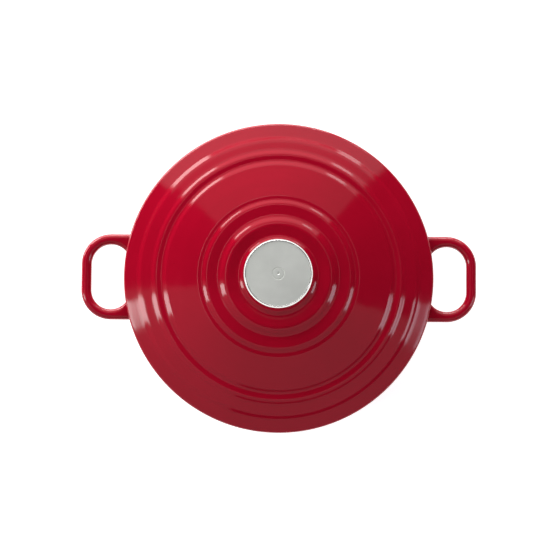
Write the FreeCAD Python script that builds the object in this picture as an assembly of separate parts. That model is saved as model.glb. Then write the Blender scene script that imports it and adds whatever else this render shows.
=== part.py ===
"""Round enamelled cast iron dutch oven, 24 cm inside the rim, with two loop handles and a lift-off lid.

The pot and the lid are iron castings under fused coats of enamel. A steel knob is screwed to the lid.
Millimetres, +Z up. The origin is the middle of the foot ring's resting face, and the handles lie along X.

Round pieces are outlines turned about Z. An outline is a list of corners (radius, height, fillet), in order,
and each coat is the strip between one outline and its parallel.
"""

import FreeCAD, Part
import math
import os

# ---- Pot ------------------------------------------------------------------------------------
RIM_INNER_R = 120.0  # the nominal size: 24 cm inside the rim
POT_HEIGHT = 106.0  # resting face to the rim that the lid sits on
POT_WALL = 3.2  # iron alone, without its coats
POT_BASE = 4.0  # iron alone
WALL_TAPER = 5.0  # how much smaller the radius is at the floor than at the rim
RIM_BAND = 14.0  # straight band under the rim
RIM_COAT_H = 2.0  # how far the dark rim coat comes down each side
RIM_BREAK = 0.9  # chamfer along the rim's two corners
FLOOR_FILLET = 22.0
BAND_FILLET = 30.0
FOOT_INSET = 5.8  # from the start of the floor's fillet in to the foot ring
FOOT_WIDTH = 8.0
FOOT_HEIGHT = 1.2  # from the resting face up to the enamelled base
ENAMEL = 0.4  # each coat

# ---- Handles --------------------------------------------------------------------------------
HANDLE_REACH = 39.2  # from the rim's outside to the far side of the loop
HANDLE_HALF_WIDTH = 35.4
HANDLE_CORNER_R = 24.5  # outer corner, seen from above
HANDLE_BAR = 8.1  # width of the loop's far side
HANDLE_LEG = 8.6  # width of its two legs
HANDLE_GAP_SINK = 1.3  # how far the finger gap reaches behind the wall's outside
HANDLE_HEIGHT = 11.0
HANDLE_DROP = 4.0  # from the rim down to the bar's top
HANDLE_ROUND = 3.6
HANDLE_FLAT = 0.6  # least width left flat between two rounded edges

# ---- Lid ------------------------------------------------------------------------------------
LID_OVERHANG = 3.0  # past the rim's outside
LID_WALL = 3.2  # iron alone
LID_EDGE = 4.6  # height of the lid's edge above its seat
LID_EDGE_ROUND = 2.6
LID_UNDER_ROUND = 1.0
LID_LAND = 1.5  # red enamel that turns under the edge
SPIGOT_DEPTH = 5.0  # the ring that centres the lid inside the rim
SPIGOT_WIDTH = 3.6
SPIGOT_ROUND = 1.2
LID_PLAY = 1.0  # radial gap between that ring and the rim
KNOB_HOLE_PLAY = 0.4  # round the screw
DRY_FILLET = 3.0  # where the dome's underside meets the centring ring

# The lid falls from its middle to its edge in terraces: (where it starts, its slope in degrees from there
# outward, the fillet at its start). The inner group is measured from the axis, the outer one from the edge.
INNER_TERRACES = [
    (29.0, 31.0, 5.0),
    (31.9, -8.0, 5.0),
    (43.2, 32.0, 8.0),
    (48.0, 0.0, 8.0),
    (58.6, 29.0, 6.0),
    (61.8, 1.0, 4.0),
    (65.0, 13.0, 8.0),
]
CONE_BEND = (15.5, 60.0)  # slope and fillet from halfway between the two groups
OUTER_TERRACES = [
    (35.6, 32.0, 6.0),
    (32.4, 0.0, 5.0),
    (26.6, 32.0, 6.0),
    (23.4, 16.5, 5.0),
    (14.6, 32.0, 7.0),
    (11.2, 17.5, 5.0),
]

# ---- Knob -----------------------------------------------------------------------------------
KNOB_R = 27.2
KNOB_HEIGHT = 26.0  # above the gasket
KNOB_SKIN = 1.5  # thickness of the pressed head
KNOB_SIDE = 5.6  # straight side of the head
KNOB_SIDE_ROUND = 4.0
LIP_ROUND = 1.2
KNOB_BELLY = 6.4  # rise of the head's underside from the stem to its side
CAP_THICKNESS = 1.6
CAP_RECESS = 0.2  # below the lip
MARK_R = 5.0  # engraved ring in the middle of the cap
MARK_WIDTH = 0.8
MARK_DEPTH = 0.3
STEM_FOOT_R = 16.5
STEM_FOOT_H = 2.6
STEM_NECK_R = 9.5
STEM_NECK_Z = 8.0
STEM_TOP_R = 12.5
STEM_TOP_ROUND = 8.0
GASKET = 1.0
GASKET_INSET = 0.9  # from the stem foot's edge
SCREW_R = 3.0  # M6
SCREW_LENGTH = 16.0
SCREW_HEAD_R = 5.9
SCREW_HEAD_H = 3.6
SCREW_SLOT = 1.3
SCREW_SLOT_LENGTH = 6.4
SCREW_TIP_ROOM = 1.1  # between the screw's end and the bottom of its hole
SCREW_SLOT_DEPTH = 1.9
THREAD_CLEARANCE = 0.05
FLAT_WASHER_R = 8.0
FLAT_WASHER_T = 1.2
SPRING_WASHER_R = 5.6
SPRING_WASHER_T = 1.5
SPRING_WASHER_GAP = 0.9
WASHER_CLEARANCE = 0.2

# ---- Worked out -----------------------------------------------------------------------------
RIM_OUTER_R = RIM_INNER_R + POT_WALL + 2 * ENAMEL
FLOOR_Z = FOOT_HEIGHT + POT_BASE + 2 * ENAMEL
FOOT_OUTER_R = RIM_OUTER_R - WALL_TAPER - FLOOR_FILLET - POT_WALL - FOOT_INSET
LID_R = RIM_OUTER_R + LID_OVERHANG
SPIGOT_R = RIM_INNER_R - LID_PLAY
HANDLE_FAR_X = RIM_OUTER_R + HANDLE_REACH
HANDLE_GAP_R = (HANDLE_REACH - HANDLE_BAR + HANDLE_GAP_SINK) / 2  # its round ends flare the legs' roots
KNOB_HOLE_R = SCREW_R + KNOB_HOLE_PLAY
LID_THICKNESS = LID_WALL + 2 * ENAMEL
Z_AXIS = FreeCAD.Vector(0, 0, 1)
ORIGIN = FreeCAD.Vector(0, 0, 0)
LEAST_FILLET = 0.05


# ---- Outlines -------------------------------------------------------------------------------
def directions(corners):
    """Unit direction of each straight stretch of an outline."""
    found = []
    for (r0, z0, _), (r1, z1, _) in zip(corners, corners[1:]):
        length = math.hypot(r1 - r0, z1 - z0)
        found.append(((r1 - r0) / length, (z1 - z0) / length))
    return found


def parallel(corners, left):
    """The outline moved by `left` to the left of its direction, with concentric fillets."""
    runs = directions(corners)
    moved = []
    for i, (r, z, fillet) in enumerate(corners):
        before = runs[max(i - 1, 0)]
        after = runs[min(i, len(runs) - 1)]
        turn = before[0] * after[1] - before[1] * after[0]
        # The mitre point of the two moved stretches.
        share = left / (1 + before[0] * after[0] + before[1] * after[1])
        r_new = r - share * (before[1] + after[1])
        z_new = z + share * (before[0] + after[0])
        if fillet:
            fillet = max(fillet - left * math.copysign(1, turn), LEAST_FILLET)
        moved.append((r_new, z_new, fillet))
    return moved


def point(r, z):
    return FreeCAD.Vector(r, 0, z)


def edges(corners):
    """Straight lines and tangent arcs along an outline in XZ. Short stretches limit their fillets."""
    runs = directions(corners)
    lengths = [math.dist(a[:2], b[:2]) for a, b in zip(corners, corners[1:])]
    made = []
    last = point(corners[0][0], corners[0][1])
    for i in range(1, len(corners) - 1):
        r, z, fillet = corners[i]
        before, after = runs[i - 1], runs[i]
        turn = math.acos(max(-1.0, min(1.0, before[0] * after[0] + before[1] * after[1])))
        corner = point(r, z)
        start = end = corner
        if fillet:
            back = min(fillet * math.tan(turn / 2), lengths[i - 1], lengths[i])
            fillet = back / math.tan(turn / 2)
            start = corner - point(*before) * back
            end = corner + point(*after) * back
        if (start - last).Length > 1e-6:
            made.append(Part.LineSegment(last, start).toShape())
        if fillet:
            inward = (point(*after) - point(*before)).normalize()
            middle = corner + inward * fillet * (1 / math.cos(turn / 2) - 1)
            made.append(Part.Arc(start, middle, end).toShape())
        last = end
    final = point(corners[-1][0], corners[-1][1])
    if (final - last).Length > 1e-6:
        made.append(Part.LineSegment(last, final).toShape())
    return made


def turned(chain):
    """The solid of revolution inside a closed chain of edges."""
    wire = Part.Wire(Part.__sortEdges__(chain))
    return Part.Face(wire).revolve(ORIGIN, Z_AXIS, 360)


def turned_outline(corners):
    """The solid of revolution inside an outline, closed by a line from its last corner to its first."""
    return turned(edges(corners + [(corners[0][0], corners[0][1], 0)]))


def strip(corners, left):
    """The coat between an outline and its parallel."""
    other = parallel(corners, left)
    ends = [
        Part.LineSegment(point(*a[:2]), point(*b[:2])).toShape()
        for a, b in ((corners[0], other[0]), (corners[-1], other[-1]))
    ]
    return turned(edges(corners) + edges(other) + ends)


def tube(inner_r, outer_r, bottom, top):
    outer = Part.makeCylinder(outer_r, top - bottom, FreeCAD.Vector(0, 0, bottom))
    inner = Part.makeCylinder(inner_r, top - bottom, FreeCAD.Vector(0, 0, bottom))
    return outer.cut(inner)


# ---- Pot ------------------------------------------------------------------------------------
def pot_outside():
    """Enamelled outside of the pot, from the foot ring to the rim coat."""
    return [
        (FOOT_OUTER_R, FOOT_HEIGHT, 0),
        (RIM_OUTER_R - WALL_TAPER, FOOT_HEIGHT, FLOOR_FILLET + POT_WALL),
        (RIM_OUTER_R, POT_HEIGHT - RIM_BAND, BAND_FILLET),
        (RIM_OUTER_R, POT_HEIGHT - RIM_COAT_H, 0),
    ]


def pot_inside():
    """Enamelled inside of the pot, from the middle of the floor to the rim coat."""
    return [
        (0, FLOOR_Z, 0),
        (RIM_INNER_R - WALL_TAPER, FLOOR_Z, FLOOR_FILLET),
        (RIM_INNER_R, POT_HEIGHT - RIM_BAND, BAND_FILLET),
        (RIM_INNER_R, POT_HEIGHT - RIM_COAT_H, 0),
    ]


def pot_rim():
    """Rim coat, over the top from outside to inside."""
    return [
        (RIM_OUTER_R, POT_HEIGHT - RIM_COAT_H, 0),
        (RIM_OUTER_R, POT_HEIGHT - RIM_BREAK, 0),
        (RIM_OUTER_R - RIM_BREAK, POT_HEIGHT, 0),
        (RIM_INNER_R + RIM_BREAK, POT_HEIGHT, 0),
        (RIM_INNER_R, POT_HEIGHT - RIM_BREAK, 0),
        (RIM_INNER_R, POT_HEIGHT - RIM_COAT_H, 0),
    ]


def pot_filled(coat):
    """The pot's outer form as one solid block, `coat` under its enamelled surface."""
    outside = parallel(pot_outside(), coat)
    top = outside[-1][1]
    return turned_outline([(0, FOOT_HEIGHT + coat, 0)] + outside + [(0, top, 0)])


def pot_casting():
    base_z = FOOT_HEIGHT + ENAMEL
    foot_inner_r = FOOT_OUTER_R - FOOT_WIDTH
    underside = [
        (0, base_z, 0),
        (foot_inner_r, base_z, 0),
        (foot_inner_r, 0, 0),
        (FOOT_OUTER_R, 0, 0),
    ]
    outside = parallel(pot_outside(), ENAMEL)[:-1]
    rim = parallel(pot_rim(), ENAMEL)[1:-1]
    inside = parallel(pot_inside(), -ENAMEL)[:-1]
    return turned_outline(underside + outside + rim + inside[::-1])


def pot_base_coat():
    foot_inner_r = FOOT_OUTER_R - FOOT_WIDTH
    return Part.makeCylinder(foot_inner_r, ENAMEL, FreeCAD.Vector(0, 0, FOOT_HEIGHT))


# ---- Handles --------------------------------------------------------------------------------
def slot_face(corner_x, corner_y, radius, back_x):
    """Flat D shape: straight sides from back_x, round far corners centred on (corner_x, +-corner_y)."""
    side = corner_y + radius
    far = corner_x + radius
    diagonal = radius * math.sqrt(0.5)

    def at(x, y):
        return FreeCAD.Vector(x, y, 0)

    def corner(sign):
        ends = [at(corner_x, sign * side), at(far, sign * corner_y)]
        middle = at(corner_x + diagonal, sign * (corner_y + diagonal))
        return Part.Arc(ends[0], middle, ends[1]).toShape()

    lines = [
        (at(back_x, side), at(corner_x, side)),
        (at(far, corner_y), at(far, -corner_y)),
        (at(corner_x, -side), at(back_x, -side)),
        (at(back_x, -side), at(back_x, side)),
    ]
    chain = [Part.LineSegment(a, b).toShape() for a, b in lines] + [corner(1), corner(-1)]
    return Part.Face(Part.Wire(Part.__sortEdges__(chain)))


def stadium_face(centre_x, centre_y, radius):
    """Flat slot with round ends of the given radius, centred on (centre_x, +-centre_y)."""

    def at(x, y):
        return FreeCAD.Vector(x, y, 0)

    def cap(sign):
        left, right = centre_x - radius, centre_x + radius
        top = at(centre_x, sign * (centre_y + radius))
        return Part.Arc(at(left, sign * centre_y), top, at(right, sign * centre_y)).toShape()

    sides = [
        Part.LineSegment(at(x, centre_y), at(x, -centre_y)).toShape()
        for x in (centre_x - radius, centre_x + radius)
    ]
    return Part.Face(Part.Wire(Part.__sortEdges__([cap(1), cap(-1)] + sides)))


def handle_loop(coat):
    """One loop at +X, `coat` under its enamelled surface, running on into the pot's wall."""
    back_x = RIM_INNER_R - HANDLE_HALF_WIDTH
    outer = slot_face(
        HANDLE_FAR_X - HANDLE_CORNER_R,
        HANDLE_HALF_WIDTH - HANDLE_CORNER_R,
        HANDLE_CORNER_R - coat,
        back_x,
    )
    gap = stadium_face(
        HANDLE_FAR_X - HANDLE_BAR - HANDLE_GAP_R,
        HANDLE_HALF_WIDTH - HANDLE_LEG - HANDLE_GAP_R,
        HANDLE_GAP_R + coat,
    )
    bottom = POT_HEIGHT - HANDLE_DROP - HANDLE_HEIGHT + coat
    height = HANDLE_HEIGHT - 2 * coat
    flat = outer.cut(gap)
    flat.translate(FreeCAD.Vector(0, 0, bottom))
    bar = flat.extrude(FreeCAD.Vector(0, 0, height))
    ends = (bottom, bottom + height)
    long_edges = [
        e
        for e in bar.Edges
        if e.BoundBox.ZLength < 1e-6
        and min(abs(e.BoundBox.ZMin - z) for z in ends) < 1e-6
        and e.BoundBox.XMax > back_x + 1e-3
    ]
    round_r = min(HANDLE_ROUND, (min(HANDLE_BAR, HANDLE_HEIGHT) - HANDLE_FLAT) / 2) - coat
    return bar.makeFillet(round_r, long_edges)


def opposite(shape):
    turned_round = shape.copy()
    turned_round.rotate(ORIGIN, Z_AXIS, 180)
    return turned_round


def handles():
    """{node: solid} for both handles' iron and enamel, and the iron that passes through the pot's coat."""
    iron = handle_loop(ENAMEL)
    skin = handle_loop(0)
    core = iron.cut(pot_filled(ENAMEL))
    coat = skin.cut(iron).cut(pot_filled(0))
    nodes = {
        "right_handle": core,
        "left_handle": opposite(core),
        "right_handle_enamel": coat,
        "left_handle_enamel": opposite(coat),
    }
    return nodes, iron.fuse(opposite(iron))


# ---- Lid ------------------------------------------------------------------------------------
def lid_terraces():
    """Every terrace as (radius, slope in degrees outward from there, fillet), from the axis to the edge."""
    outer = [(LID_R - inset, slope, fillet) for inset, slope, fillet in OUTER_TERRACES]
    halfway = (INNER_TERRACES[-1][0] + outer[0][0]) / 2
    return INNER_TERRACES + [(halfway, *CONE_BEND)] + outer


def lid_top():
    """Red top of the lid, from the knob's hole over the edge to the land under it."""
    terraces = lid_terraces()
    stops = [r for r, _, _ in terraces] + [LID_R]
    falls = [
        (stops[i + 1] - stops[i]) * math.tan(math.radians(terraces[i][1]))
        for i in range(len(terraces))
    ]
    z = POT_HEIGHT + LID_EDGE + sum(falls)
    corners = [(KNOB_HOLE_R, z, 0)]
    for (r, _, fillet), fall in zip(terraces, falls):
        corners.append((r, z, fillet))
        z -= fall
    corners.append((LID_R, z, LID_EDGE_ROUND))
    corners.append((LID_R, POT_HEIGHT, LID_UNDER_ROUND))
    corners.append((LID_R - LID_LAND, POT_HEIGHT, 0))
    return corners


def boss_z():
    """Height of the flat middle of the lid, where the knob stands."""
    return lid_top()[0][1]


def lid_underside():
    """Pale underside of the lid, from the screw's hole to the top of the centring ring's outside."""
    inner_r = SPIGOT_R - SPIGOT_WIDTH
    under = parallel(lid_top()[:-2], -LID_THICKNESS)
    kept = sum(r < inner_r - DRY_FILLET for r, _, _ in under)
    (r0, z0, _), (r1, z1, _) = under[kept - 1], under[kept]
    meet_z = z0 + (inner_r - r0) * (z1 - z0) / (r1 - r0)
    return under[:kept] + [
        (inner_r, meet_z, DRY_FILLET),
        (inner_r, POT_HEIGHT - SPIGOT_DEPTH, SPIGOT_ROUND),
        (SPIGOT_R, POT_HEIGHT - SPIGOT_DEPTH, SPIGOT_ROUND),
        (SPIGOT_R, POT_HEIGHT, 0),
    ]


def lid_casting():
    top = parallel(lid_top(), -ENAMEL)
    under = parallel(lid_underside(), ENAMEL)
    step = (under[-1][0], POT_HEIGHT + ENAMEL, 0)
    return turned_outline(top + [step] + under[::-1])


def lid_seat_coat():
    return tube(SPIGOT_R - ENAMEL, LID_R - LID_LAND, POT_HEIGHT, POT_HEIGHT + ENAMEL)


# ---- Knob -----------------------------------------------------------------------------------
def knob_head(foot_z):
    """Pressed steel bowl: belly, straight side and rounded lip, open at the top for the cap."""
    top = foot_z + KNOB_HEIGHT
    bowl = [
        (0, stem_top(foot_z), 0),
        (STEM_TOP_R, stem_top(foot_z), STEM_TOP_ROUND),
        (KNOB_R, top - KNOB_SIDE, KNOB_SIDE_ROUND),
    ]
    inside = parallel(bowl + [(KNOB_R, top, 0)], KNOB_SKIN)
    return turned_outline(bowl + [(KNOB_R, top, LIP_ROUND)] + inside[::-1])


def knob_cap(foot_z):
    """Flat disc pressed into the bowl, with one engraved ring."""
    top = foot_z + KNOB_HEIGHT - CAP_RECESS
    disc = Part.makeCylinder(KNOB_R - KNOB_SKIN, CAP_THICKNESS, FreeCAD.Vector(0, 0, top - CAP_THICKNESS))
    return disc.cut(tube(MARK_R - MARK_WIDTH, MARK_R, top - MARK_DEPTH, top))


def stem_top(foot_z):
    return foot_z + KNOB_HEIGHT - KNOB_SIDE - KNOB_BELLY


def knob_stem(foot_z, hole_top):
    """Turned steel post with a threaded hole for the screw."""
    hole_r = SCREW_R + THREAD_CLEARANCE
    return turned_outline(
        [
            (0, hole_top, 0),
            (hole_r, hole_top, 0),
            (hole_r, foot_z, 0),
            (STEM_FOOT_R, foot_z, 0.8),
            (STEM_FOOT_R, foot_z + STEM_FOOT_H, 1.2),
            (STEM_NECK_R, foot_z + STEM_NECK_Z, 6.0),
            (STEM_TOP_R, stem_top(foot_z), 0),
            (0, stem_top(foot_z), 0),
        ]
    )


def knob_screw(seat_z):
    """Pan head screw pushed up through the lid, its head under seat_z."""
    bottom = seat_z - SCREW_HEAD_H
    body = turned_outline(
        [
            (0, bottom, 0),
            (SCREW_HEAD_R, bottom, SCREW_HEAD_H * 0.6),
            (SCREW_HEAD_R, seat_z, 0),
            (SCREW_R, seat_z, 0),
            (SCREW_R, seat_z + SCREW_LENGTH, 0.5),
            (0, seat_z + SCREW_LENGTH, 0),
        ]
    )
    for long_x, long_y in ((SCREW_SLOT_LENGTH, SCREW_SLOT), (SCREW_SLOT, SCREW_SLOT_LENGTH)):
        corner = FreeCAD.Vector(-long_x / 2, -long_y / 2, bottom)
        body = body.cut(Part.makeBox(long_x, long_y, SCREW_SLOT_DEPTH, corner))
    return body


def spring_washer(top):
    ring = tube(SCREW_R + WASHER_CLEARANCE, SPRING_WASHER_R, top - SPRING_WASHER_T, top)
    corner = FreeCAD.Vector(0, -SPRING_WASHER_GAP / 2, top - SPRING_WASHER_T)
    return ring.cut(Part.makeBox(SPRING_WASHER_R * 2, SPRING_WASHER_GAP, SPRING_WASHER_T, corner))


# ---- Assembly -------------------------------------------------------------------------------
def build():
    handle_nodes, through_wall = handles()
    boss = boss_z()
    foot_z = boss + GASKET
    under_boss = boss - LID_THICKNESS
    spring_top = under_boss - FLAT_WASHER_T
    screw_seat = spring_top - SPRING_WASHER_T
    stem_hole_top = screw_seat + SCREW_LENGTH + SCREW_TIP_ROOM
    nodes = {
        "pot_casting": pot_casting(),
        "pot_outer_enamel": strip(pot_outside(), ENAMEL).cut(through_wall),
        "pot_inner_enamel": strip(pot_inside(), -ENAMEL),
        "pot_rim_enamel": strip(pot_rim(), ENAMEL),
        "pot_base_enamel": pot_base_coat(),
        "lid_casting": lid_casting(),
        "lid_outer_enamel": strip(lid_top(), -ENAMEL),
        "lid_inner_enamel": strip(lid_underside(), ENAMEL),
        "lid_seat_enamel": lid_seat_coat(),
        "knob_head": knob_head(foot_z),
        "knob_cap": knob_cap(foot_z),
        "knob_stem": knob_stem(foot_z, stem_hole_top),
        "knob_gasket": tube(KNOB_HOLE_R, STEM_FOOT_R - GASKET_INSET, boss, foot_z),
        "flat_washer": tube(SCREW_R + WASHER_CLEARANCE, FLAT_WASHER_R, spring_top, under_boss),
        "spring_washer": spring_washer(spring_top),
        "knob_screw": knob_screw(screw_seat),
    }
    nodes.update(handle_nodes)
    return nodes


os.makedirs("parts", exist_ok=True)
for name, shape in build().items():
    shape.exportStep(f"parts/{name}.step")
    print(f"{name}: {len(shape.Solids)} solid, {shape.Volume / 1000:.1f} cm3, valid {shape.isValid()}")
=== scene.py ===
"""A round dutch oven in red enamel: finished pieces, materials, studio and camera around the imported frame.

Outlines and sizes are in millimetres. Meshes are in metres, in the frame's own axes: +Z up, handles along X.
"""

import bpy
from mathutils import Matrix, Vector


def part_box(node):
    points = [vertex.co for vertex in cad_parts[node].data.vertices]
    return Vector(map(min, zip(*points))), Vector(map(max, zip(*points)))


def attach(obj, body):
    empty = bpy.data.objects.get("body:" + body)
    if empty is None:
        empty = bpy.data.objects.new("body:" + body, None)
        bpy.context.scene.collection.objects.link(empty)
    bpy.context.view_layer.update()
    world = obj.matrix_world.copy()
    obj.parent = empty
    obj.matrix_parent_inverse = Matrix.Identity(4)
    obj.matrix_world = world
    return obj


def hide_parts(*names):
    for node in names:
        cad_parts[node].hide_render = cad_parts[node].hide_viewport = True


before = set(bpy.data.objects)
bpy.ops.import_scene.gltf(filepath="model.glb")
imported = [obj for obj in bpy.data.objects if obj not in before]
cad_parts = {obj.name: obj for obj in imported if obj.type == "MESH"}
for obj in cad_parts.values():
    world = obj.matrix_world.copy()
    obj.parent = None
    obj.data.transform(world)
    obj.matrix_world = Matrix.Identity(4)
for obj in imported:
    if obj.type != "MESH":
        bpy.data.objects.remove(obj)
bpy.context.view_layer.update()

import math

import bmesh
import bpy
from mathutils import Euler, Vector

MM = 0.001


def top_of(node):
    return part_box(node)[1].z / MM


def bottom_of(node):
    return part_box(node)[0].z / MM


def reach_of(node):
    """How far a node comes out along X, in millimetres."""
    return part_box(node)[1].x / MM


# ---- Sizes ----------------------------------------------------------------------------------
RIM_Z = top_of("pot_rim_enamel")
POT_R = reach_of("pot_rim_enamel")
LID_R = reach_of("lid_outer_enamel") - 0.002  # a hair inside the CAD lid's edge
SPIGOT_R = reach_of("lid_inner_enamel")
BOSS_Z = top_of("lid_outer_enamel")
GASKET_Z = top_of("knob_gasket")
KNOB_Z = top_of("knob_head")
KNOB_R = reach_of("knob_head")
HANDLE_X = reach_of("right_handle_enamel")
HANDLE_TOP = top_of("right_handle_enamel")
HANDLE_LOW = bottom_of("right_handle_enamel")

COAT = 0.4  # thickness of the enamel
WALL = 4.0  # pot wall with both coats
RIM_R = POT_R - WALL
TAPER = 5.0  # how much less the wall's radius is at its foot
BAND_Z = RIM_Z - 14.0  # above this the wall is upright
BAND_FILLET = 30.0
RIM_COAT_H = RIM_Z - bottom_of("pot_rim_enamel")
RIM_ROUND = 1.3
FLOOR_Z = 6.0
FLOOR_FILLET = 22.0
FOOT_H = bottom_of("pot_base_enamel")
FOOT_R = 88.0
FOOT_INNER_R = reach_of("pot_base_enamel")
LID_THICKNESS = 4.0
LID_LAND = 1.5  # width of the red ring under the lid's edge
LID_EDGE_ROUND = 2.6
LID_EDGE_ROUND_BELOW = 1.0
SPIGOT_WIDTH = 3.6  # the ring under the lid that centres it
SPIGOT_ROUND = 1.2
SPIGOT_ROOT = 3.0  # fillet inside the ring's root
HOLE_R = 3.4  # for the knob's screw

# Terraces of the lid: (start, slope in degrees outward from there, fillet at the start). The first group
# is measured from the axis, the second from the edge.
INNER_TERRACES = [
    (29.0, 31.0, 5.0),
    (31.9, -8.0, 5.0),
    (43.2, 32.0, 8.0),
    (48.0, 0.0, 8.0),
    (58.6, 29.0, 6.0),
    (61.8, 1.0, 4.0),
    (65.0, 13.0, 8.0),
]
CONE_BEND = (15.5, 60.0)  # slope and fillet from halfway between the two groups
OUTER_TERRACES = [
    (35.6, 32.0, 6.0),
    (32.4, 0.0, 5.0),
    (26.6, 32.0, 6.0),
    (23.4, 16.5, 5.0),
    (14.6, 32.0, 7.0),
    (11.2, 17.5, 5.0),
]

ROUND_STEPS = 240
FILLET_STEP = math.radians(3.0)  # turn of one facet in a fillet
LONGEST_FACET = 2.4  # along an outline
SAME_PLACE = 1e-6  # in metres
SMALLEST_FILLET = 0.05


# ---- Shaping --------------------------------------------------------------------------------
def edit_mesh():
    return bmesh.from_edit_mesh(bpy.context.object.data)


def pick(kind, test):
    """Selects only those vertices, edges or faces of the mesh in edit mode that pass a test."""
    bpy.ops.mesh.select_mode(type=kind)
    bpy.ops.mesh.select_all(action="DESELECT")
    mesh = edit_mesh()
    parts = {"VERT": mesh.verts, "EDGE": mesh.edges, "FACE": mesh.faces}[kind]
    for part in parts:
        if test(part):
            part.select_set(True)
    mesh.select_flush_mode()
    bmesh.update_edit_mesh(bpy.context.object.data)


def begin(add, **sizes):
    """Adds a primitive and opens it in edit mode, all of it selected."""
    bpy.ops.object.select_all(action="DESELECT")
    add(**sizes)
    bpy.ops.object.mode_set(mode="EDIT")
    bpy.ops.mesh.select_mode(type="VERT")
    bpy.ops.mesh.select_all(action="SELECT")


def directions(corners):
    """Unit direction (across, up) of each stretch of an outline."""
    found = []
    for (r0, z0, _), (r1, z1, _) in zip(corners, corners[1:]):
        length = math.hypot(r1 - r0, z1 - z0)
        found.append(((r1 - r0) / length, (z1 - z0) / length))
    return found


def parallel(corners, left):
    """An outline moved to the left of its direction, its fillets concentric."""
    runs = directions(corners)
    moved = []
    for i, (r, z, fillet) in enumerate(corners):
        before = runs[max(i - 1, 0)]
        after = runs[min(i, len(runs) - 1)]
        turn = before[0] * after[1] - before[1] * after[0]
        share = left / (1 + before[0] * after[0] + before[1] * after[1])
        if fillet:
            fillet = max(fillet - left * math.copysign(1, turn), SMALLEST_FILLET)
        moved.append((r - share * (before[1] + after[1]), z + share * (before[0] + after[0]), fillet))
    return moved


def wire(corners):
    """Extrudes a point along an outline of (radius, height, fillet), rounded. Edit mode stays open."""
    r, z, _ = corners[0]
    begin(bpy.ops.mesh.primitive_plane_add, size=MM, location=(0, 0, 0))
    bpy.ops.mesh.merge(type="CENTER")
    bpy.ops.transform.translate(value=(r * MM, 0, z * MM))
    for (r0, z0, _), (r1, z1, _) in zip(corners, corners[1:]):
        step = ((r1 - r0) * MM, 0, (z1 - z0) * MM)
        bpy.ops.mesh.extrude_vertices_move(TRANSFORM_OT_translate={"value": step})
    runs = directions(corners)
    for (r, z, fillet), before, after in zip(corners[1:-1], runs, runs[1:]):
        if not fillet:
            continue
        turn = math.acos(max(-1.0, min(1.0, before[0] * after[0] + before[1] * after[1])))
        corner = Vector((r * MM, 0, z * MM))
        pick("VERT", lambda v: (v.co - corner).length < SAME_PLACE)
        bpy.ops.mesh.bevel(
            offset=fillet * math.tan(turn / 2) * MM,
            segments=max(3, round(turn / FILLET_STEP)),
            affect="VERTICES",
            clamp_overlap=False,
        )
    while any(e.calc_length() > LONGEST_FACET * MM for e in edit_mesh().edges):
        pick("EDGE", lambda e: e.calc_length() > LONGEST_FACET * MM)
        bpy.ops.mesh.subdivide(number_cuts=1)


def spin(steps=ROUND_STEPS, inside=False):
    """Spins what is in edit mode about Z, and turns its faces outward, or inward where inside is set."""
    bpy.ops.mesh.select_mode(type="VERT")
    bpy.ops.mesh.select_all(action="SELECT")
    bpy.ops.mesh.spin(steps=steps, angle=math.tau, center=(0, 0, 0), axis=(0, 0, 1))
    bpy.ops.mesh.select_all(action="SELECT")
    bpy.ops.mesh.remove_doubles(threshold=SAME_PLACE)
    bpy.ops.mesh.normals_make_consistent(inside=inside)


def close_up(name, material, body, nodes):
    """Leaves edit mode, gives the piece its name, finish and body, and hides the nodes that it stands for.
    """
    bpy.ops.object.mode_set(mode="OBJECT")
    piece = bpy.context.object
    piece.name = name
    piece.data.name = name
    bpy.ops.object.shade_smooth()
    piece.data.materials.clear()
    piece.data.materials.append(material)
    bpy.ops.object.transform_apply(location=True, rotation=True, scale=True)
    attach(piece, body)
    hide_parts(*nodes)
    return piece


def thicken(piece):
    """Gives an open surface the thickness of a coat, on the side away from its faces."""
    layer = piece.modifiers.new("coat", "SOLIDIFY")
    layer.thickness = COAT * MM
    layer.offset = -1
    layer.use_even_offset = True
    bpy.ops.object.select_all(action="DESELECT")
    piece.select_set(True)
    bpy.context.view_layer.objects.active = piece
    bpy.ops.object.modifier_apply(modifier=layer.name)


def coat(name, corners, material, body, nodes, inside=False):
    """A coat of enamel: an outline spun about Z, with the coat's thickness behind it."""
    wire(corners)
    spin(inside=inside)
    thicken(close_up(name, material, body, nodes))


def turned(name, corners, material, body, nodes, steps=ROUND_STEPS // 2):
    """A solid round piece: an outline that starts and ends on the axis, or is closed, spun about Z."""
    wire(corners)
    spin(steps=steps)
    close_up(name, material, body, nodes)


# ---- Materials ------------------------------------------------------------------------------
def shader_group(name, inputs, outputs):
    """A node group with named float inputs and outputs. Returns it with its input and output nodes."""
    group = bpy.data.node_groups.new(name, "ShaderNodeTree")
    for socket, value in inputs.items():
        made = group.interface.new_socket(socket, in_out="INPUT", socket_type="NodeSocketFloat")
        made.default_value = value
    for socket in outputs:
        group.interface.new_socket(socket, in_out="OUTPUT", socket_type="NodeSocketFloat")
    return group, group.nodes.new("NodeGroupInput"), group.nodes.new("NodeGroupOutput")


def add_node(tree, kind, values=(), **settings):
    """A node with its settings, and its sockets set to values or linked from other nodes' sockets."""
    node = tree.nodes.new(kind)
    for name, value in settings.items():
        setattr(node, name, value)
    for socket, value in dict(values).items():
        if isinstance(value, bpy.types.NodeSocket):
            tree.links.new(value, node.inputs[socket])
        else:
            node.inputs[socket].default_value = value
    return node


def maths(tree, operation, a, b=0.0):
    return add_node(tree, "ShaderNodeMath", {0: a, 1: b}, operation=operation).outputs[0]


def object_coordinates(tree):
    return add_node(tree, "ShaderNodeTexCoord").outputs["Object"]


NOISE_SPAN = (0.3, 0.7)  # most of a noise's values lie between these


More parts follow.
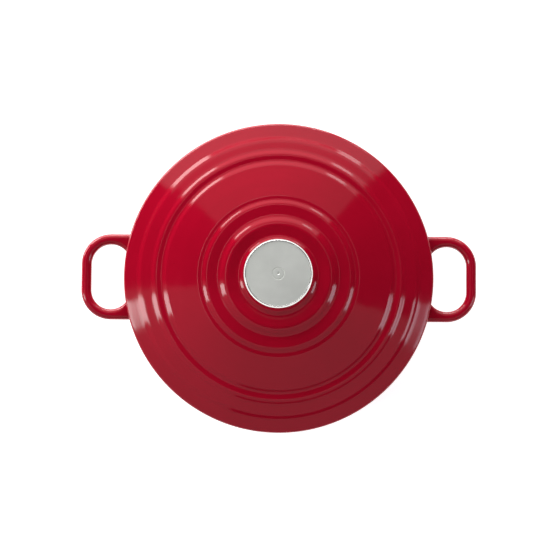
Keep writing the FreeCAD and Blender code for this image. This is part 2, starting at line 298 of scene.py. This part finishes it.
def noise(tree, scale, detail, roughness=0.5):
    """Noise over the piece, with about `scale` features to a metre."""
    node = add_node(
        tree,
        "ShaderNodeTexNoise",
        {"Vector": object_coordinates(tree), "Scale": scale, "Detail": detail, "Roughness": roughness},
    )
    return node.outputs["Fac"]


def make_ripple_group():
    """Glaze that flowed before it set: slow swells and orange peel."""
    group, given, result = shader_group("glaze_ripple", {"Swell": 1.0, "Peel": 0.05}, ["Height"])
    swell = maths(group, "MULTIPLY", noise(group, 28.0, detail=1.0), given.outputs["Swell"])
    peel = maths(group, "MULTIPLY", noise(group, 240.0, detail=2.0), given.outputs["Peel"])
    group.links.new(maths(group, "ADD", swell, peel), result.inputs["Height"])
    return group


def make_speck_group():
    """Sparse round specks: 1 inside a speck, 0 outside."""
    group, given, result = shader_group("specks", {"Scale": 260.0, "Size": 0.09, "Rarity": 0.93}, ["Mask"])
    cells = add_node(
        group,
        "ShaderNodeTexVoronoi",
        {"Vector": object_coordinates(group), "Scale": given.outputs["Scale"]},
    )
    dot = maths(group, "LESS_THAN", cells.outputs["Distance"], given.outputs["Size"])
    pick_cell = add_node(group, "ShaderNodeSeparateColor", {"Color": cells.outputs["Color"]})
    rare = maths(group, "GREATER_THAN", pick_cell.outputs["Red"], given.outputs["Rarity"])
    group.links.new(maths(group, "MULTIPLY", dot, rare), result.inputs["Mask"])
    return group


RIPPLE = make_ripple_group()
SPECKS = make_speck_group()


def use_group(tree, group, output, **values):
    """One output of a node group, with those of its inputs set that are not left as they are."""
    node = add_node(tree, "ShaderNodeGroup", node_tree=group)
    for name, value in values.items():
        node.inputs[name].default_value = value
    return node.outputs[output]


def new_material(name, **plain):
    """A material with one Principled BSDF, its constant values set on its own sockets."""
    material = bpy.data.materials.new(name)
    material.use_nodes = True
    tree = material.node_tree
    tree.nodes.clear()
    shader = add_node(tree, "ShaderNodeBsdfPrincipled", {k.replace("_", " "): v for k, v in plain.items()})
    end = add_node(tree, "ShaderNodeOutputMaterial")
    tree.links.new(shader.outputs[0], end.inputs["Surface"])
    return material, tree, shader


def mix(tree, factor, first, second):
    """Colour between two colours, or sockets, by a factor socket."""
    node = add_node(tree, "ShaderNodeMix", data_type="RGBA")
    tree.links.new(factor, node.inputs["Factor"])
    for socket, value in (("A", first), ("B", second)):
        target = next(i for i in node.inputs if i.name == socket and i.type == "RGBA")
        if isinstance(value, bpy.types.NodeSocket):
            tree.links.new(value, target)
        else:
            target.default_value = (*value, 1.0)
    return next(o for o in node.outputs if o.type == "RGBA")


def spread(tree, source, low, high, to_low=0.0, to_high=1.0):
    """Maps source from low..high to to_low..to_high, clamped."""
    node = add_node(
        tree,
        "ShaderNodeMapRange",
        {"Value": source, "From Min": low, "From Max": high, "To Min": to_low, "To Max": to_high},
    )
    return node.outputs["Result"]


def bump(tree, shader, height, depth):
    """Relief on a shader's surface, `depth` metres deep."""
    node = add_node(tree, "ShaderNodeBump", {"Height": height, "Distance": depth, "Strength": 1.0})
    tree.links.new(node.outputs["Normal"], shader.inputs["Normal"])


def enamel(name, colour, deep, speck_colour, speck_scale, roughness):
    """Glassy enamel: cloudy depth of colour, faint specks, and a surface that flowed in the kiln."""
    material, tree, shader = new_material(name, IOR=1.52)
    cloud = spread(tree, noise(tree, 22.0, detail=4.0), *NOISE_SPAN)
    tint = mix(tree, cloud, deep, colour)
    mask = use_group(tree, SPECKS, "Mask", Scale=speck_scale)
    tree.links.new(mix(tree, mask, tint, speck_colour), shader.inputs["Base Color"])
    dullness = spread(tree, noise(tree, 60.0, detail=3.0), *NOISE_SPAN, *roughness)
    tree.links.new(dullness, shader.inputs["Roughness"])
    bump(tree, shader, use_group(tree, RIPPLE, "Height"), depth=0.00006)
    return material


RED = enamel(
    "red_enamel",
    colour=(0.465, 0.0018, 0.021),
    deep=(0.425, 0.0014, 0.018),
    speck_colour=(0.33, 0.0010, 0.013),
    speck_scale=260.0,
    roughness=(0.05, 0.09),
)
PALE = enamel(
    "pale_enamel",
    colour=(0.76, 0.70, 0.57),
    deep=(0.73, 0.665, 0.53),
    speck_colour=(0.50, 0.43, 0.32),
    speck_scale=420.0,
    roughness=(0.08, 0.14),
)


def make_dark_enamel():
    material, tree, shader = new_material("dark_enamel", IOR=1.5)
    grain = noise(tree, 1400.0, detail=3.0)
    colour = mix(tree, grain, (0.010, 0.009, 0.009), (0.026, 0.024, 0.023))
    tree.links.new(colour, shader.inputs["Base Color"])
    dullness = spread(tree, noise(tree, 300.0, detail=3.0), *NOISE_SPAN, 0.38, 0.55)
    tree.links.new(dullness, shader.inputs["Roughness"])
    bump(tree, shader, grain, depth=0.00004)
    return material


def make_iron():
    material, tree, shader = new_material("bare_iron", Metallic=1.0)
    grain = noise(tree, 1800.0, detail=5.0, roughness=0.65)
    patch = noise(tree, 90.0, detail=4.0)
    colour = mix(tree, spread(tree, patch, 0.35, 0.7), (0.20, 0.195, 0.19), (0.11, 0.10, 0.095))
    tree.links.new(colour, shader.inputs["Base Color"])
    tree.links.new(spread(tree, grain, *NOISE_SPAN, 0.42, 0.62), shader.inputs["Roughness"])
    bump(tree, shader, grain, depth=0.00008)
    return material


def radius_of(tree):
    """Distance from the Z axis, in metres."""
    parts = add_node(tree, "ShaderNodeSeparateXYZ", {"Vector": object_coordinates(tree)})
    flat = add_node(tree, "ShaderNodeCombineXYZ", {"X": parts.outputs["X"], "Y": parts.outputs["Y"]})
    length = add_node(tree, "ShaderNodeVectorMath", {0: flat.outputs[0]}, operation="LENGTH")
    return length.outputs["Value"]


def make_turning_group():
    """Fine rings left by a turning or brushing tool, finer and coarser ones together."""
    group, given, result = shader_group("turning_rings", {"Fine": 9000.0, "Coarse": 1500.0}, ["Height"])
    radius = radius_of(group)
    rings = []
    for scale, detail in ((given.outputs["Fine"], 2.0), (given.outputs["Coarse"], 1.0)):
        node = add_node(
            group,
            "ShaderNodeTexNoise",
            {"W": radius, "Scale": scale, "Detail": detail},
            noise_dimensions="1D",
        )
        rings.append(node.outputs["Fac"])
    group.links.new(maths(group, "ADD", *rings), result.inputs["Height"])
    return group


TURNING = make_turning_group()


CLOUD_SHADE = 0.96  # how dark a cloud in the steel is, against the rest


def steel(name, colour, roughness, ring_depth, anisotropy=0.0):
    """Turned steel: faint clouds, and fine rings in its relief and its shine."""
    material, tree, shader = new_material(name, Metallic=1.0, Anisotropic=anisotropy)
    rings = use_group(tree, TURNING, "Height")
    cloud = noise(tree, 120.0, detail=3.0)
    darker = tuple(c * CLOUD_SHADE for c in colour)
    tree.links.new(mix(tree, spread(tree, cloud, *NOISE_SPAN), darker, colour), shader.inputs["Base Color"])
    tree.links.new(spread(tree, rings, 0.7, 1.3, *roughness), shader.inputs["Roughness"])
    bump(tree, shader, rings, ring_depth)
    if anisotropy:
        around = add_node(tree, "ShaderNodeTangent", direction_type="RADIAL", axis="Z")
        tree.links.new(around.outputs["Tangent"], shader.inputs["Tangent"])
    return material


BRUSHED = steel(
    "brushed_steel",
    colour=(0.88, 0.895, 0.85),
    roughness=(0.56, 0.66),
    ring_depth=0.000004,
    anisotropy=0.15,
)
POLISHED = steel(
    "polished_steel",
    colour=(0.78, 0.77, 0.75),
    roughness=(0.12, 0.18),
    ring_depth=0.000001,
)
PLAIN_STEEL = steel(
    "plain_steel",
    colour=(0.55, 0.55, 0.54),
    roughness=(0.24, 0.34),
    ring_depth=0.000003,
)
DARK = make_dark_enamel()
IRON = make_iron()


def make_gasket_material():
    material, tree, shader = new_material("gasket_fibre", Roughness=0.8)
    grain = noise(tree, 1200.0, detail=4.0)
    tree.links.new(mix(tree, grain, (0.02, 0.02, 0.02), (0.05, 0.048, 0.045)), shader.inputs["Base Color"])
    bump(tree, shader, grain, depth=0.00005)
    return material


FIBRE = make_gasket_material()


# ---- Lid ------------------------------------------------------------------------------------
def lid_top():
    """Red top of the lid, from the screw's hole over the edge to the land under it."""
    outer = [(LID_R - inset, slope, fillet) for inset, slope, fillet in OUTER_TERRACES]
    halfway = (INNER_TERRACES[-1][0] + outer[0][0]) / 2
    terraces = INNER_TERRACES + [(halfway, *CONE_BEND)] + outer
    stops = [r for r, _, _ in terraces] + [LID_R]
    z = BOSS_Z
    corners = [(HOLE_R, z, 0)]
    for i, (r, slope, fillet) in enumerate(terraces):
        corners.append((r, z, fillet))
        z -= (stops[i + 1] - r) * math.tan(math.radians(slope))
    return corners + [
        (LID_R, z, LID_EDGE_ROUND),
        (LID_R, RIM_Z, LID_EDGE_ROUND_BELOW),
        (LID_R - LID_LAND, RIM_Z, 0),
    ]


def lid_underside():
    """Pale underside, from the screw's hole out and round the centring ring."""
    inner_r = SPIGOT_R - SPIGOT_WIDTH
    spigot_z = bottom_of("lid_inner_enamel")
    under = parallel(lid_top()[:-2], -LID_THICKNESS)
    kept = sum(r < inner_r - SPIGOT_ROOT for r, _, _ in under)
    (r0, z0, _), (r1, z1, _) = under[kept - 1], under[kept]
    meet_z = z0 + (inner_r - r0) * (z1 - z0) / (r1 - r0)
    return under[:kept] + [
        (inner_r, meet_z, SPIGOT_ROOT),
        (inner_r, spigot_z, SPIGOT_ROUND),
        (SPIGOT_R, spigot_z, SPIGOT_ROUND),
        (SPIGOT_R, RIM_Z, 0),
    ]


def refinish(node, material):
    """Gives a CAD node that stays its finish."""
    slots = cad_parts[node].data.materials
    slots.clear()
    slots.append(material)


def make_lid():
    coat("lid_red_coat", lid_top(), RED, "lid", ["lid_outer_enamel"])
    coat("lid_pale_coat", lid_underside(), PALE, "lid", ["lid_inner_enamel"], inside=True)
    seat = [(LID_R - LID_LAND, RIM_Z, 0), (SPIGOT_R - COAT, RIM_Z, 0)]
    coat("lid_seat_coat", seat, DARK, "lid", ["lid_seat_enamel"], inside=True)
    refinish("lid_casting", IRON)


# ---- Pot ------------------------------------------------------------------------------------
def make_pot():
    outside = [
        (FOOT_R, FOOT_H, 0),
        (POT_R - TAPER, FOOT_H, FLOOR_FILLET + WALL - 2 * COAT),
        (POT_R, BAND_Z, BAND_FILLET),
        (POT_R, RIM_Z - RIM_COAT_H, 0),
    ]
    coat("pot_red_coat", outside, RED, "pot", ["pot_outer_enamel"])
    inside = [
        (0, FLOOR_Z, 0),
        (RIM_R - TAPER, FLOOR_Z, FLOOR_FILLET),
        (RIM_R, BAND_Z, BAND_FILLET),
        (RIM_R, RIM_Z - RIM_COAT_H, 0),
    ]
    coat("pot_pale_coat", inside, PALE, "pot", ["pot_inner_enamel"], inside=True)
    rim = [
        (POT_R, RIM_Z - RIM_COAT_H, 0),
        (POT_R, RIM_Z, RIM_ROUND),
        (RIM_R, RIM_Z, RIM_ROUND),
        (RIM_R, RIM_Z - RIM_COAT_H, 0),
    ]
    coat("pot_rim_coat", rim, DARK, "pot", ["pot_rim_enamel"])
    base = [(0, FOOT_H, 0), (FOOT_INNER_R, FOOT_H, 0)]
    coat("pot_base_coat", base, DARK, "pot", ["pot_base_enamel"], inside=True)
    refinish("pot_casting", IRON)


# ---- Handles --------------------------------------------------------------------------------
LEG_Y = 35.4  # outside of the loop's two legs
LEG_WIDTH = 8.6
BAR_WIDTH = 8.1  # across the loop's far side
CORNER_R = 24.5
CORNER = (HANDLE_X - CORNER_R, LEG_Y - CORNER_R)  # middle of the outer corner's arc
GAP_R = 16.2
GAP = (HANDLE_X - BAR_WIDTH - GAP_R, LEG_Y - LEG_WIDTH - GAP_R)  # middle of the gap's round end
BAR_ROUND = 3.6
BAR_MIDDLE = (HANDLE_TOP + HANDLE_LOW) / 2
ROOT_FILLET = 3.2
ROOT_FILLET_TOP = 1.6  # smaller, because the rim is close above
SINK = 0.04  # how far a root's last ring lies under the wall's surface
QUARTER_STEPS = 7  # facets in a quarter turn of the bar's section
FLAT_STEPS = 3
ROOT_STEPS = 6
LEG_STEPS = 7
CORNER_STEPS = 12
FAR_STEPS = 4
SETTLE_STEPS = 20  # enough for the place where a leg's inner side meets a section to settle


def wall_x(y, z):
    """X of the pot's outside, on its right."""
    slope = TAPER / (BAND_Z - FOOT_H)
    r = POT_R - max(0.0, BAND_Z - z) * slope
    return math.sqrt(r * r - y * y)


def gap_y(x):
    """Inner side of a leg, where the gap's round end flares it towards the wall."""
    back = min(max(GAP[0] - x, 0.0), GAP_R)
    return GAP[1] + math.sqrt(GAP_R * GAP_R - back * back)


def leg_inside(height, share):
    """Y of a leg's inner side: a height above the wall where share is 0, at the corner where it is 1."""
    y = GAP[1]
    for _ in range(SETTLE_STEPS):
        y = gap_y((wall_x(y, BAR_MIDDLE) + height) * (1 - share) + GAP[0] * share)
    return y


def bar_section(width):
    """Places (across, up) once round the bar, from its outer side over its top, with their normals."""
    half_width = width / 2 - BAR_ROUND
    half_height = (HANDLE_TOP - HANDLE_LOW) / 2 - BAR_ROUND
    corners = [(half_width, half_height), (-half_width, half_height)]
    corners += [(-half_width, -half_height), (half_width, -half_height)]
    ring = []
    for quarter, (across, up) in enumerate(corners):
        for step in range(QUARTER_STEPS + 1):
            turn = math.pi / 2 * (quarter + step / QUARTER_STEPS)
            normal = (math.cos(turn), math.sin(turn))
            ring.append((across + BAR_ROUND * normal[0], up + BAR_ROUND * normal[1], normal))
        to_across, to_up = corners[(quarter + 1) % 4]
        for step in range(1, FLAT_STEPS):
            share = step / FLAT_STEPS
            place = (across + (to_across - across) * share, up + (to_up - up) * share)
            ring.append((place[0] + BAR_ROUND * normal[0], place[1] + BAR_ROUND * normal[1], normal))
    return ring + ring[:1]


def root_ring(height, flare):
    """Section of a leg that follows the wall a height above it; flare is its share of the root's fillet."""
    inner = leg_inside(height, 0.0)
    ring = []
    for across, up, (n_across, n_up) in bar_section(LEG_Y - inner):
        fillet = ROOT_FILLET_TOP if n_up > 0 else ROOT_FILLET
        y = (LEG_Y + inner) / 2 + across + flare * ROOT_FILLET * max(0.0, n_across)
        z = BAR_MIDDLE + up + flare * fillet * n_up
        ring.append((wall_x(y, z) + height, y, z))
    return ring


def flat_ring(inner, outer):
    """Section of the bar in the upright plane through a place on its inner side and one on its outer."""
    width = math.dist(inner, outer)
    along = ((outer[0] - inner[0]) / width, (outer[1] - inner[1]) / width)
    middle = ((outer[0] + inner[0]) / 2, (outer[1] + inner[1]) / 2)
    return [
        (middle[0] + across * along[0], middle[1] + across * along[1], BAR_MIDDLE + up)
        for across, up, _ in bar_section(width)
    ]


def leg_ring(share):
    """Section on the way from the root, where it follows the wall, to the corner, where it is flat."""
    inner = leg_inside(ROOT_FILLET, share)
    ring = []
    for across, up, _ in bar_section(LEG_Y - inner):
        y = (LEG_Y + inner) / 2 + across
        z = BAR_MIDDLE + up
        flat_x = GAP[0] + (CORNER[0] - GAP[0]) * (y - inner) / (LEG_Y - inner)
        ring.append(((wall_x(y, z) + ROOT_FILLET) * (1 - share) + flat_x * share, y, z))
    return ring


def half_loop():
    """Sections from the wall to the middle of the far side."""
    rings = [root_ring(-SINK, 1.0)]
    for step in range(ROOT_STEPS):
        turn = math.pi / 2 * step / ROOT_STEPS
        rings.append(root_ring(ROOT_FILLET * (1 - math.cos(turn)), 1 - math.sin(turn)))
    rings += [leg_ring(step / LEG_STEPS) for step in range(LEG_STEPS)]
    for step in range(CORNER_STEPS + 1):
        turn = math.pi / 2 * (1 - step / CORNER_STEPS)
        way = (math.cos(turn), math.sin(turn))
        inner = (GAP[0] + GAP_R * way[0], GAP[1] + GAP_R * way[1])
        outer = (CORNER[0] + CORNER_R * way[0], CORNER[1] + CORNER_R * way[1])
        rings.append(flat_ring(inner, outer))
    for step in range(1, FAR_STEPS + 1):
        left = 1 - step / FAR_STEPS
        rings.append(flat_ring((GAP[0] + GAP_R, GAP[1] * left), (HANDLE_X, CORNER[1] * left)))
    return rings


def make_handle(name, side, node):
    """One loop: a grid laid round the bar and along it, its seam closed."""
    half = half_loop()
    mirrored = [[(x, -y, z) for x, y, z in ring] for ring in half[-2::-1]]
    rings = half + mirrored
    along, around = len(rings) - 1, len(rings[0]) - 1
    begin(bpy.ops.mesh.primitive_grid_add, x_subdivisions=along, y_subdivisions=around, size=2)
    mesh = edit_mesh()
    for vert in mesh.verts:
        x, y, z = rings[round((vert.co.x + 1) / 2 * along)][round((vert.co.y + 1) / 2 * around)]
        vert.co = Vector((side * x, side * y, z)) * MM
    bmesh.update_edit_mesh(bpy.context.object.data)
    bpy.ops.mesh.remove_doubles(threshold=SAME_PLACE)
    bpy.ops.mesh.normals_make_consistent(inside=False)
    thicken(close_up(name, RED, "pot", [node]))


def make_handles():
    make_handle("right_loop_coat", 1, "right_handle_enamel")
    make_handle("left_loop_coat", -1, "left_handle_enamel")
    for node in ("left_handle", "right_handle"):
        refinish(node, IRON)


# ---- Knob -----------------------------------------------------------------------------------
KNOB_SKIN = 1.5
KNOB_SIDE = 5.6  # height of the bowl's upright side, with the lip
LIP_BEVEL = (1.1, 1.5)  # across, and down the side
BELLY_Z = bottom_of("knob_head")
CAP_GAP = 0.02  # round the disc
CAP_R = KNOB_R - KNOB_SKIN - CAP_GAP
CAP_TOP = KNOB_Z - 0.05
CAP_LOW = KNOB_Z - 1.8
CAP_CROWN = 0.35  # how far the disc falls from its middle to its edge
ENGRAVED_Z = CAP_TOP - 0.3
ENGRAVED_ROUND = 0.1
STEM_FOOT_R = 16.5
STEM_FOOT_H = 2.6
STEM_NECK_R = 9.5
STEM_NECK_H = 8.0
STEM_TOP_R = 12.5
STEM_HOLE = 9.4  # depth of the threaded hole
THREAD_R = 3.05
GASKET_R = 15.6


def make_bowl():
    bowl = [(0, BELLY_Z, 0), (STEM_TOP_R, BELLY_Z, 8.0), (KNOB_R, KNOB_Z - KNOB_SIDE, 4.0)]
    inside = parallel(bowl + [(KNOB_R, KNOB_Z, 0)], KNOB_SKIN)[:-1]
    lip = [
        (KNOB_R, KNOB_Z - LIP_BEVEL[1], 0.8),
        (KNOB_R - LIP_BEVEL[0], KNOB_Z, 0.3),
        (KNOB_R - KNOB_SKIN, KNOB_Z, 0.15),
    ]
    outline = bowl + lip + inside[::-1]
    turned("knob_bowl", outline, POLISHED, "lid", ["knob_head"], ROUND_STEPS)


def make_disc():
    """Slightly crowned, with one engraved ring and a dot in the middle."""
    disc = [
        (0, CAP_LOW, 0),
        (CAP_R, CAP_LOW, 0),
        (CAP_R, CAP_TOP - CAP_CROWN, 0.15),
        (CAP_R / 2, CAP_TOP - CAP_CROWN / 4, 60.0),
        (5.0, CAP_TOP, ENGRAVED_ROUND),
        (4.85, ENGRAVED_Z, ENGRAVED_ROUND),
        (4.35, ENGRAVED_Z, ENGRAVED_ROUND),
        (4.2, CAP_TOP, ENGRAVED_ROUND),
        (1.2, CAP_TOP, ENGRAVED_ROUND),
        (0.9, ENGRAVED_Z, ENGRAVED_ROUND),
        (0, ENGRAVED_Z, 0),
    ]
    turned("knob_disc", disc, BRUSHED, "lid", ["knob_cap"], ROUND_STEPS)


def make_post():
    post = [
        (0, GASKET_Z + STEM_HOLE, 0),
        (THREAD_R, GASKET_Z + STEM_HOLE, 0),
        (THREAD_R, GASKET_Z, 0),
        (STEM_FOOT_R, GASKET_Z, 0.8),
        (STEM_FOOT_R, GASKET_Z + STEM_FOOT_H, 1.2),
        (STEM_NECK_R, GASKET_Z + STEM_NECK_H, 6.0),
        (STEM_TOP_R, BELLY_Z, 0),
        (0, BELLY_Z, 0),
    ]
    turned("knob_post", post, POLISHED, "lid", ["knob_stem"])


def make_gasket():
    gasket = [
        (HOLE_R, BOSS_Z, 0),
        (GASKET_R, BOSS_Z, 0.4),
        (GASKET_R, GASKET_Z, 0.4),
        (HOLE_R, GASKET_Z, 0),
        (HOLE_R, BOSS_Z, 0),
    ]
    turned("knob_ring", gasket, FIBRE, "lid", ["knob_gasket"])


def make_knob():
    make_bowl()
    make_disc()
    make_post()
    make_gasket()
    for node in ("knob_screw", "flat_washer", "spring_washer"):
        refinish(node, PLAIN_STEEL)


# ---- Studio ---------------------------------------------------------------------------------
# Light from all round, as panels on the sky: (middle azimuth and half width, then the tilts from straight
# up where a panel starts and ends, all in degrees, then brightness and colour). Azimuth turns from +X to +Y.
PANELS = [
    (0, 180, 20, 23.5, 0.7, (1.0, 1.0, 1.0)),
    (145, 60, 20, 23.5, 1.0, (1.0, 1.0, 1.0)),
    (93, 42, 24, 42, 0.34, (1.0, 1.0, 1.0)),
    (94, 44, 42, 72, 0.95, (1.0, 1.0, 1.0)),
    (118, 45, 74, 90, 9.5, (1.0, 1.0, 1.0)),
    (-96, 84, 24, 62, 0.31, (0.95, 1.0, 1.0)),
    (-145, 34, 62, 74, 0.3, (0.95, 1.0, 1.0)),
    (128, 9, 61, 74, 7.0, (1.0, 0.98, 0.96)),
    (62, 5, 60, 74, 3.5, (1.0, 1.0, 1.0)),
    (-170, 5.5, 40, 72, 7.0, (1.0, 0.98, 0.97)),
    (-14, 9, 40, 66, 3.6, (0.95, 0.88, 1.0)),
]
FILL = 0.03  # strength of the even light between the panels
PANEL_SOFTNESS = 1.3  # degrees, to each side of a panel's edge
FLOOR_SIZE = 12.0  # in metres
CAMERA_DISTANCE = 1.2  # in metres
CAMERA_TURN = (3.55, 0.45, 0.5)  # from straight down, in degrees about X, Y and Z
CAMERA_TARGET = (-2.95, 2.0, RIM_Z + 2.0)
CAMERA_LENS = 95.7


def make_panel_group():
    """Soft-edged panel on the sky. Angles are in radians."""
    inputs = {"Azimuth": 0.0, "Tilt": 0.0, "Middle": 0.0, "Half Width": 0.5, "Start": 0.2, "End": 1.0}
    group, given, result = shader_group("light_panel", inputs, ["Mask"])
    away = add_node(
        group,
        "ShaderNodeMath",
        {
            0: maths(group, "SUBTRACT", given.outputs["Azimuth"], given.outputs["Middle"]),
            1: math.pi,
            2: -math.pi,
        },
        operation="WRAP",
    )
    soft = math.radians(PANEL_SOFTNESS)
    edges = [
        maths(group, "SUBTRACT", given.outputs["Half Width"], maths(group, "ABSOLUTE", away.outputs[0])),
        maths(group, "SUBTRACT", given.outputs["Tilt"], given.outputs["Start"]),
        maths(group, "SUBTRACT", given.outputs["End"], given.outputs["Tilt"]),
    ]
    mask = 1.0
    for edge in edges:
        node = add_node(
            group,
            "ShaderNodeMapRange",
            {"Value": edge, "From Min": -soft, "From Max": soft},
            interpolation_type="SMOOTHSTEP",
        )
        mask = maths(group, "MULTIPLY", node.outputs["Result"], mask)
    group.links.new(mask, result.inputs["Mask"])
    return group


def make_sky():
    """World light: the panels, a low fill, and plain white wherever the camera sees past the floor."""
    world = bpy.data.worlds.new("studio")
    bpy.context.scene.world = world
    world.use_nodes = True
    tree = world.node_tree
    tree.nodes.clear()
    toward = add_node(tree, "ShaderNodeTexCoord").outputs["Generated"]
    parts = add_node(tree, "ShaderNodeSeparateXYZ", {"Vector": toward})
    azimuth = maths(tree, "ARCTAN2", parts.outputs["Y"], parts.outputs["X"])
    tilt = maths(tree, "ARCCOSINE", parts.outputs["Z"])
    group = make_panel_group()
    light = add_node(tree, "ShaderNodeBackground", {"Color": (1, 1, 1, 1), "Strength": FILL}).outputs[0]
    for middle, half_width, start, end, brightness, colour in PANELS:
        panel = add_node(tree, "ShaderNodeGroup", node_tree=group)
        tree.links.new(azimuth, panel.inputs["Azimuth"])
        tree.links.new(tilt, panel.inputs["Tilt"])
        angles = {"Middle": middle, "Half Width": half_width, "Start": start, "End": end}
        for socket, degrees in angles.items():
            panel.inputs[socket].default_value = math.radians(degrees)
        strength = maths(tree, "MULTIPLY", panel.outputs["Mask"], brightness)
        glow = add_node(tree, "ShaderNodeBackground", {"Color": (*colour, 1), "Strength": strength})
        both = add_node(tree, "ShaderNodeAddShader", {0: light, 1: glow.outputs[0]})
        light = both.outputs[0]
    plain = add_node(tree, "ShaderNodeBackground", {"Color": (1, 1, 1, 1), "Strength": 1.0}).outputs[0]
    path = add_node(tree, "ShaderNodeLightPath")
    seen = add_node(tree, "ShaderNodeMixShader", {0: path.outputs["Is Camera Ray"], 1: light, 2: plain})
    end = add_node(tree, "ShaderNodeOutputWorld")
    tree.links.new(seen.outputs[0], end.inputs["Surface"])


def make_floor():
    bpy.ops.mesh.primitive_plane_add(size=FLOOR_SIZE, location=(0, 0, 0))
    floor = bpy.context.object
    floor.name = "floor"
    material, *_ = new_material(
        "white_paper",
        Base_Color=(0.9, 0.9, 0.9, 1.0),
        Roughness=0.9,
        Emission_Color=(1.0, 1.0, 1.0, 1.0),
        Emission_Strength=0.75,
    )
    floor.data.materials.append(material)


def make_camera():
    """Looks almost straight down from a little in front."""
    turn = Euler([math.radians(degrees) for degrees in CAMERA_TURN])
    back = turn.to_matrix() @ Vector((0, 0, CAMERA_DISTANCE))
    place = Vector(CAMERA_TARGET) * MM + back
    bpy.ops.object.camera_add(location=place, rotation=turn)
    camera = bpy.context.object
    camera.data.lens = CAMERA_LENS
    bpy.context.scene.camera = camera


make_lid()
make_pot()
make_handles()
make_knob()
make_sky()
make_floor()
make_camera()
bpy.context.scene.view_settings.view_transform = "Standard"
